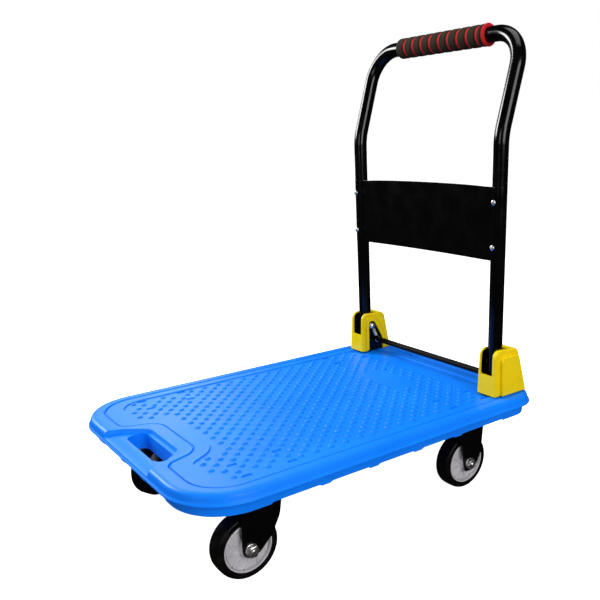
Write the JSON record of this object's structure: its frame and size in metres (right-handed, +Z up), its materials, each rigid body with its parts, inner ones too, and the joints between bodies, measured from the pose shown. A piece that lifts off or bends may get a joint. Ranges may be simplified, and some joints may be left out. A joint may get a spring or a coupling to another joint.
{
  "type": "folding platform cart",
  "caption": "Flatbed push cart with a ribbed moulded deck, fold-down U handle with guard plate and foam grip, sprung foot release bar, swivel casters in front and rigid casters behind.",
  "frame": {"origin": "on the floor under the middle of the deck, which is also the middle of the bounding box", "axes": "+Z up, +Y towards the folding handle, -Y towards the hand slot, X across the deck"},
  "size_m": [0.482, 0.687, 0.7916],
  "materials": {
    "deck_plastic": "satin",
    "cover_plastic": "gloss",
    "black_steel": "gloss",
    "zinc_steel": "satin",
    "black_foam": "matte",
    "red_foam": "matte",
    "bar_rubber": "matte",
    "tyre_rubber": "matte",
    "grey_plastic": "satin"
  },
  "bodies": {
    "deck": {"deck": "deck_plastic", "hinge_base_left": "black_steel", "hinge_base_right": "black_steel", "hinge_cover_left": "cover_plastic", "hinge_cover_right": "cover_plastic", "hinge_pin_left": "zinc_steel", "hinge_pin_right": "zinc_steel", "return_spring_left": "zinc_steel", "return_spring_right": "zinc_steel", "swivel_plate_front_left": "black_steel", "swivel_plate_front_right": "black_steel", "king_pin_front_left": "zinc_steel", "king_pin_front_right": "zinc_steel", "fork_rear_left": "black_steel", "fork_rear_right": "black_steel", "axle_bolt_rear_left": "zinc_steel", "axle_bolt_rear_right": "zinc_steel", "axle_nut_rear_left": "zinc_steel", "axle_nut_rear_right": "zinc_steel"},
    "handle": {"handle_tube": "black_steel", "grip_core": "red_foam", "grip_sleeve": "black_foam", "guard_plate": "black_steel", "guard_screw_left_low": "zinc_steel", "guard_screw_left_high": "zinc_steel", "guard_screw_right_low": "zinc_steel", "guard_screw_right_high": "zinc_steel", "pivot_bush_left": "zinc_steel", "pivot_bush_right": "zinc_steel"},
    "release_bar": {"release_bar": "black_steel", "release_sleeve": "bar_rubber"},
    "swivel_left": {"fork_front_left": "black_steel", "race_cup_front_left": "black_steel", "axle_bolt_front_left": "zinc_steel", "axle_nut_front_left": "zinc_steel"},
    "swivel_right": {"fork_front_right": "black_steel", "race_cup_front_right": "black_steel", "axle_bolt_front_right": "zinc_steel", "axle_nut_front_right": "zinc_steel"},
    "wheel_front_left": {"tyre_front_left": "tyre_rubber", "rim_front_left": "grey_plastic", "wheel_bush_front_left": "zinc_steel"},
    "wheel_front_right": {"tyre_front_right": "tyre_rubber", "rim_front_right": "grey_plastic", "wheel_bush_front_right": "zinc_steel"},
    "wheel_rear_left": {"tyre_rear_left": "tyre_rubber", "rim_rear_left": "grey_plastic", "wheel_bush_rear_left": "zinc_steel"},
    "wheel_rear_right": {"tyre_rear_right": "tyre_rubber", "rim_rear_right": "grey_plastic", "wheel_bush_rear_right": "zinc_steel"}
  },
  "joints": [
    {"name": "handle_fold", "type": "hinge", "parent": "deck", "child": "handle", "pos_m": [0, 0.2715, 0.224], "axis": [1, 0, 0], "range_deg": [0, 89]},
    {"name": "release_bar_travel", "type": "slide", "parent": "deck", "child": "release_bar", "axis": [0, 0.4478, -0.8942], "range_m": [0, 0.008], "stiffness_N_per_m": 1500, "springref_m": -0.01, "deforming": ["return_spring_left", "return_spring_right"]},
    {"name": "caster_swivel_left", "type": "hinge", "parent": "deck", "child": "swivel_left", "pos_m": [-0.174, -0.2, 0.118], "axis": [0, 0, 1], "continuous": true},
    {"name": "caster_swivel_right", "type": "hinge", "parent": "deck", "child": "swivel_right", "pos_m": [0.174, -0.2, 0.118], "axis": [0, 0, 1], "continuous": true},
    {"name": "wheel_spin_front_left", "type": "hinge", "parent": "swivel_left", "child": "wheel_front_left", "pos_m": [-0.15667, -0.23716, 0.05], "axis": [0.9063, 0.4226, 0], "continuous": true},
    {"name": "wheel_spin_front_right", "type": "hinge", "parent": "swivel_right", "child": "wheel_front_right", "pos_m": [0.174, -0.241, 0.05], "axis": [1, 0, 0], "continuous": true},
    {"name": "wheel_spin_rear_left", "type": "hinge", "parent": "deck", "child": "wheel_rear_left", "pos_m": [-0.174, 0.204, 0.05], "axis": [1, 0, 0], "continuous": true},
    {"name": "wheel_spin_rear_right", "type": "hinge", "parent": "deck", "child": "wheel_rear_right", "pos_m": [0.174, 0.204, 0.05], "axis": [1, 0, 0], "continuous": true}
  ]
}
